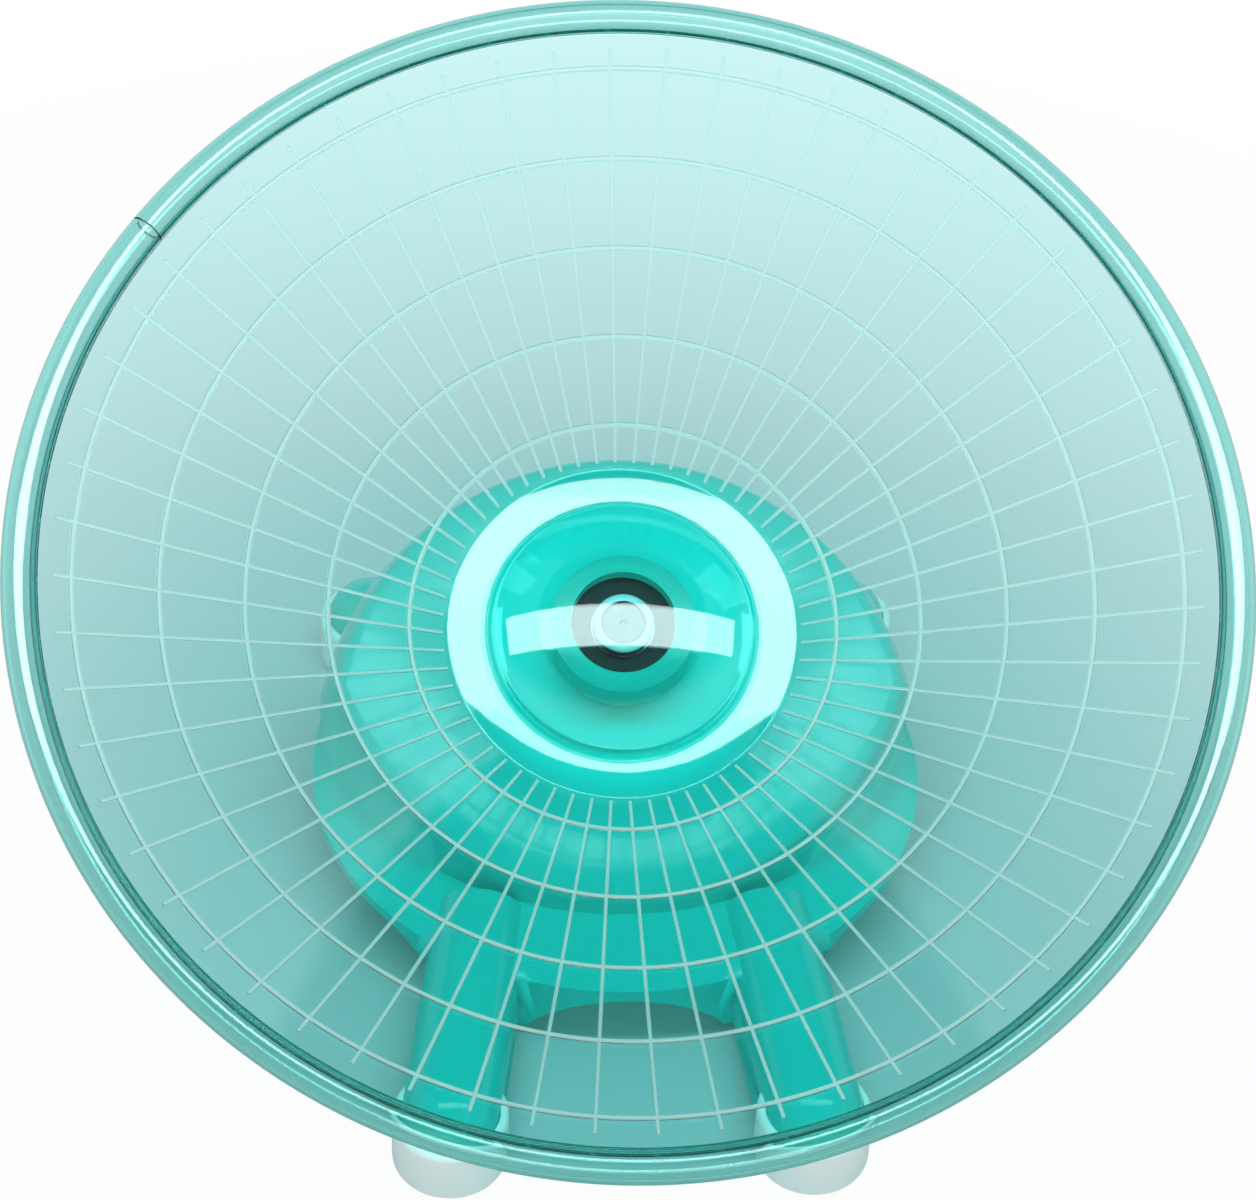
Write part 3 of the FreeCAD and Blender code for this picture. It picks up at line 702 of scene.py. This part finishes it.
def make_feet(materials):
    """The four rubber feet, each under its leg."""
    for node in ("front_left_foot", "front_right_foot", "rear_left_foot", "rear_right_foot"):
        low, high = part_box(node)
        under_leg = ((low.x + high.x) / 2, (low.y + high.y) / 2, low.z)
        place = Matrix.Translation(under_leg) @ Matrix.Scale(MM, 4)
        mesh = spun(node, foot_section(), FOOT_SEGMENTS)
        finished(node + "_cup", mesh, place, materials["grey_rubber"], "stand", node)


def paint_hub(materials):
    """The bearing and axle keep their own solids, with the finish of their slot."""
    for entry in frame["record"]["subparts"]:
        mesh = frame["nodes"][entry["node"]].data
        mesh.materials.clear()
        mesh.materials.append(materials[entry["material_slot"]])


def visible_ray(tree):
    """One on camera, mirror and see-through rays, zero on the rays that only light things."""
    path = add(tree, "ShaderNodeLightPath")
    seen = add(tree, "ShaderNodeMath", {
        0: path.outputs["Is Camera Ray"], 1: path.outputs["Is Glossy Ray"]}, operation="MAXIMUM")
    return add(tree, "ShaderNodeMath", {
        0: seen.outputs[0], 1: path.outputs["Is Transmission Ray"]}, operation="MAXIMUM").outputs[0]


def make_floor():
    """A wide white floor: plain paper near the object, where its shadow lies, self-lit further out."""
    half = FLOOR_HALF
    corners = [(-half, -half, 0), (half, -half, 0), (half, half, 0), (-half, half, 0)]
    mesh = bpy.data.meshes.new("floor")
    mesh.from_pydata(corners, [], [(0, 1, 2, 3)])
    material, tree = new_material("studio_floor")
    paper = add(tree, "ShaderNodeBsdfDiffuse", {"Color": linear(FLOOR_PAPER)})
    glow = add(tree, "ShaderNodeEmission", {"Color": (1, 1, 1, 1), "Strength": 1.0})
    place = add(tree, "ShaderNodeTexCoord")
    away = add(tree, "ShaderNodeVectorMath", {0: place.outputs["Object"]}, operation="LENGTH")
    spread = add(tree, "ShaderNodeMapRange", {
        "Value": away.outputs["Value"], "From Min": GLOW_FROM, "From Max": GLOW_FULL},
        interpolation_type="SMOOTHSTEP")
    path = add(tree, "ShaderNodeLightPath")
    direct = add(tree, "ShaderNodeMath", {
        0: path.outputs["Is Camera Ray"], 1: FLOOR_SEEN}, operation="MULTIPLY")
    stronger = add(tree, "ShaderNodeMath", {
        0: direct.outputs[0], 1: spread.outputs["Result"]}, operation="MAXIMUM")
    share = add(tree, "ShaderNodeMath", {
        0: visible_ray(tree), 1: stronger.outputs[0]}, operation="MULTIPLY")
    both = add(tree, "ShaderNodeMixShader", {
        0: share.outputs[0], 1: paper.outputs[0], 2: glow.outputs[0]})
    add(tree, "ShaderNodeOutputMaterial", {"Surface": both.outputs[0]})
    mesh.materials.append(material)
    floor = bpy.data.objects.new("floor", mesh)
    bpy.context.scene.collection.objects.link(floor)


def make_world():
    """A studio that lights evenly and is mirrored as white walls, a dim ceiling and a dim back panel."""
    world = bpy.data.worlds.new("studio")
    world.use_nodes = True
    tree = world.node_tree
    tree.nodes.clear()
    place = add(tree, "ShaderNodeTexCoord")
    way = add(tree, "ShaderNodeSeparateXYZ", {"Vector": place.outputs["Generated"]})
    ceiling = add(tree, "ShaderNodeMapRange", {
        "Value": way.outputs["Z"], "From Min": CEILING[0], "From Max": CEILING[1]},
        interpolation_type="SMOOTHSTEP")
    back = add(tree, "ShaderNodeMapRange", {
        "Value": way.outputs["Y"], "From Min": BACK_PANEL[0], "From Max": BACK_PANEL[1]})
    raised = add(tree, "ShaderNodeMapRange", {
        "Value": way.outputs["Z"], "From Min": BACK_PANEL_FOOT[0], "From Max": BACK_PANEL_FOOT[1]})
    panel = add(tree, "ShaderNodeMath", {
        0: back.outputs["Result"], 1: raised.outputs["Result"]}, operation="MULTIPLY")
    dim = add(tree, "ShaderNodeMath", {
        0: ceiling.outputs["Result"], 1: panel.outputs[0]}, operation="MAXIMUM")
    walls = add(tree, "ShaderNodeMapRange", {
        "Value": dim.outputs[0], "To Min": WALLS_SEEN, "To Max": DIM_SEEN})
    path = add(tree, "ShaderNodeLightPath")
    seen = add(tree, "ShaderNodeMath", {
        0: path.outputs["Is Camera Ray"], 1: walls.outputs["Result"]}, operation="MAXIMUM")
    strength = add(tree, "ShaderNodeMapRange", {
        "Value": visible_ray(tree), "To Min": STUDIO_FILL, "To Max": seen.outputs[0]})
    light = add(tree, "ShaderNodeBackground", {
        "Color": (1, 1, 1, 1), "Strength": strength.outputs["Result"]})
    add(tree, "ShaderNodeOutputWorld", {"Surface": light.outputs[0]})
    bpy.context.scene.world = world


def softbox(name, aim, azimuth, elevation, distance, size, watts):
    """A rectangular softbox that faces a point from an azimuth and an elevation in degrees."""
    turn, rise = math.radians(azimuth), math.radians(elevation)
    lamp = bpy.data.lights.new(name, "AREA")
    lamp.shape = "RECTANGLE"
    lamp.size, lamp.size_y = size
    lamp.energy = watts
    holder = bpy.data.objects.new(name, lamp)
    away = Vector((math.cos(rise) * math.cos(turn), math.cos(rise) * math.sin(turn), math.sin(rise)))
    holder.location = aim + away * distance
    holder.rotation_euler = (math.pi / 2 - rise, 0.0, turn + math.pi / 2)
    bpy.context.scene.collection.objects.link(holder)


def make_lamps():
    """A long strip overhead, which the hub's floor and dome mirror, and a low box at the front."""
    hub = Vector(SPIN["pos_m"])
    softbox("overhead_strip", hub + Vector(STRIP_SHIFT), azimuth=-90.0, elevation=79.4, distance=1.02,
            size=(1.3, 0.232), watts=8.2)
    softbox("front_box", hub, azimuth=-92.0, elevation=14.0, distance=1.2, size=(0.9, 0.25), watts=2.4)


def make_camera():
    """The photograph's view: from the front and above, a little rolled."""
    place, aim = Vector(CAMERA_PLACE), Vector(CAMERA_AIM)
    camera = bpy.data.cameras.new("camera")
    camera.lens = CAMERA_LENS
    camera.sensor_width = CAMERA_SENSOR
    holder = bpy.data.objects.new("camera", camera)
    turn = (aim - place).to_track_quat("-Z", "Y").to_matrix() @ Matrix.Rotation(CAMERA_ROLL, 3, "Z")
    holder.matrix_world = Matrix.Translation(place) @ turn.to_4x4()
    bpy.context.scene.collection.objects.link(holder)
    bpy.context.scene.camera = holder


def main():
    """Dress the frame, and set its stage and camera."""
    bpy.context.scene.view_settings.view_transform = "Standard"
    materials = make_materials()
    paint_hub(materials)
    make_dish(materials)
    make_socket(materials)
    make_seal(materials)
    make_pin(materials)
    make_edging(materials)
    make_stand(materials)
    make_feet(materials)
    make_floor()
    make_world()
    make_lamps()
    make_camera()


main()
